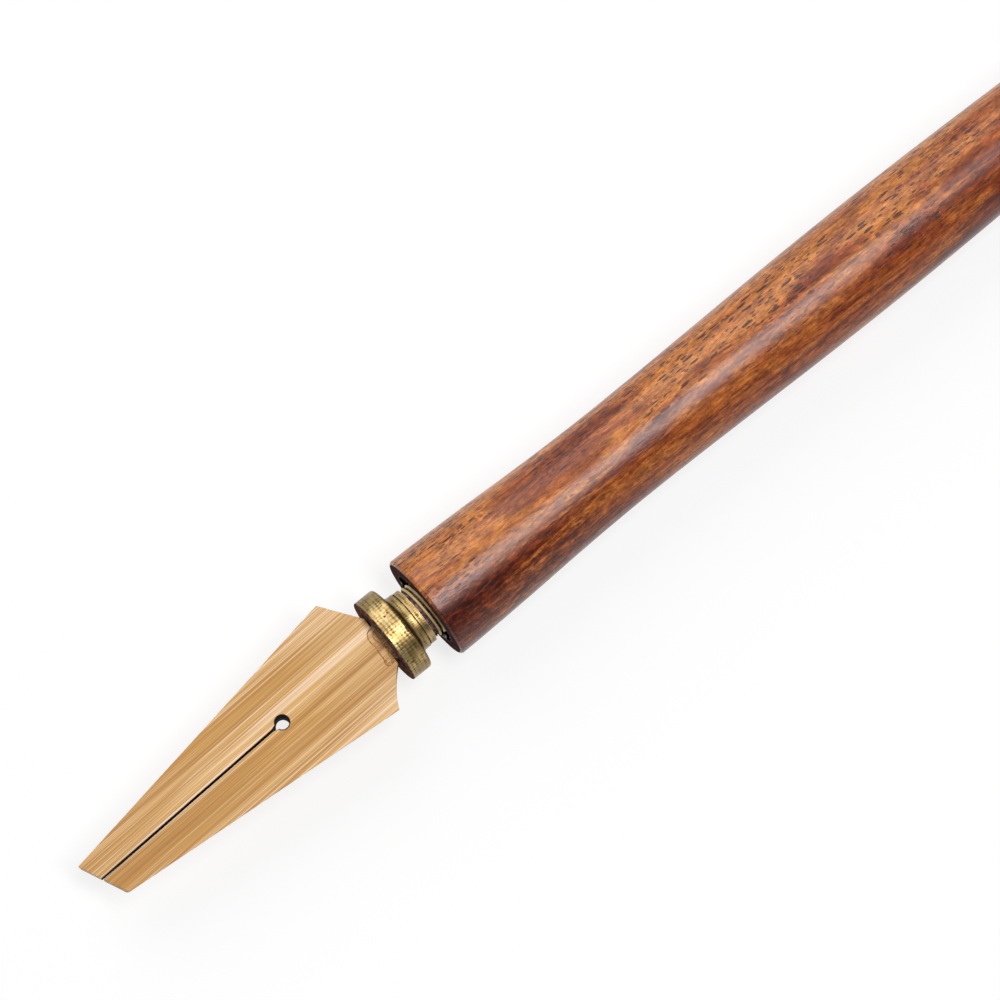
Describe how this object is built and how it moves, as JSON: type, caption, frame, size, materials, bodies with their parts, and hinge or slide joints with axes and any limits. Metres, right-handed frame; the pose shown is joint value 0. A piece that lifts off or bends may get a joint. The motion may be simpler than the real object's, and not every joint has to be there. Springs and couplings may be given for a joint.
{
  "type": "calligraphy dip pen",
  "caption": "Dip pen with a turned wooden handle and a broad split bamboo nib on a brass screw that threads into the handle.",
  "frame": {"origin": "bottom centre of the whole pen's bounding box, with the nib unit screwed in as pictured", "axes": "+X along the pen from the nib's tip towards the handle's tail, +Y across the nib towards the long corner of its tip, +Z out of the nib's upper face"},
  "size_m": [0.1922, 0.0132, 0.0114],
  "materials": {
    "rosewood": "turned and polished, oily sheen, red-brown with dark pores",
    "insert_metal": "machined, dull",
    "clear_adhesive": "cured resin, matte",
    "brass": "turned, aged, with fine cross-hatched tool marks",
    "bamboo": "split and planed, bare, with fine lengthwise fibres",
    "brown_adhesive": "cured resin stained brown, semi-matte"
  },
  "bodies": {
    "grip": {"handle": "rosewood", "threaded_insert": "insert_metal", "insert_glue": "clear_adhesive"},
    "carriage": {"socket_glue": "brown_adhesive"},
    "nib_unit": {"nib_holder": "brass", "nib": "bamboo", "nib_glue": "brown_adhesive"}
  },
  "joints": [
    {"name": "nib_travel", "type": "slide", "parent": "grip", "child": "carriage", "axis": [-1, 0, 0], "range_m": [-0.00196, 0.0048]},
    {"name": "nib_turn", "type": "hinge", "parent": "carriage", "child": "nib_unit", "pos_m": [-0.05391, -0.00017, 0.0057], "axis": [-1, 0, 0], "range_deg": [-1412, 3457]}
  ],
  "couplings": [
    {"joint": "nib_turn", "follows": "nib_travel", "rad_per_m": 12566}
  ]
}
